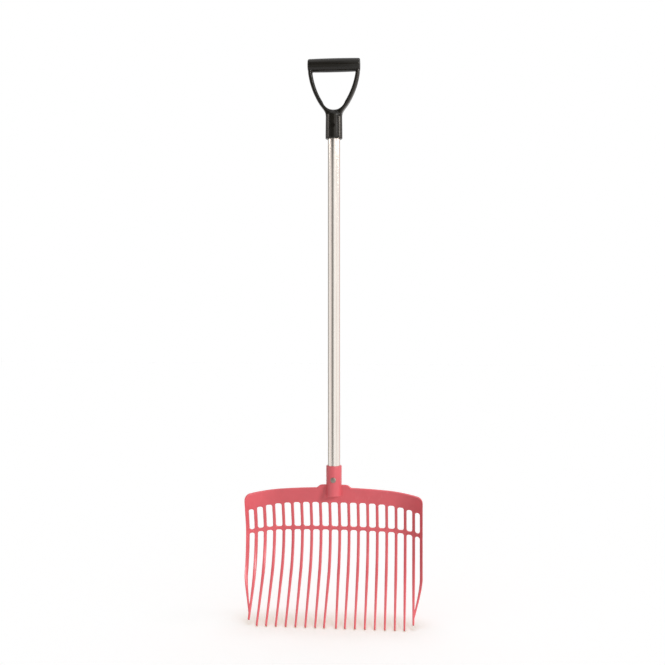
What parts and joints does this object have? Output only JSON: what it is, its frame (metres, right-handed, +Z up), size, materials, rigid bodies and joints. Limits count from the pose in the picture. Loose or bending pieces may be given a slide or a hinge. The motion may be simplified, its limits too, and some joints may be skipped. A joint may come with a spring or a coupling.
{
  "type": "manure fork",
  "caption": "Hand fork for mucking out: a dished one-piece comb of curved tines with a slotted crown and a crossbar, bolted to a straight tube handle that ends in a D grip.",
  "frame": {"origin": "on the floor under the middle of the fork's outline, with the middle tine tips touching the floor", "axes": "+Z up the handle, X along the row of tines, and the load side of the scoop towards -Y"},
  "size_m": [0.4038, 0.1314, 1.2704],
  "materials": {
    "head_plastic": "coral red moulded plastic, low gloss",
    "tube_aluminium": "polished drawn tube",
    "grip_plastic": "black moulded plastic, satin",
    "zinc_steel": "zinc plated",
    "screw_steel": "blackened steel"
  },
  "bodies": {
    "root": {"fork_head": "head_plastic", "handle_tube": "tube_aluminium", "d_grip": "grip_plastic", "head_bolt": "zinc_steel", "head_nut": "zinc_steel", "grip_screw": "screw_steel"}
  },
  "joints": []
}
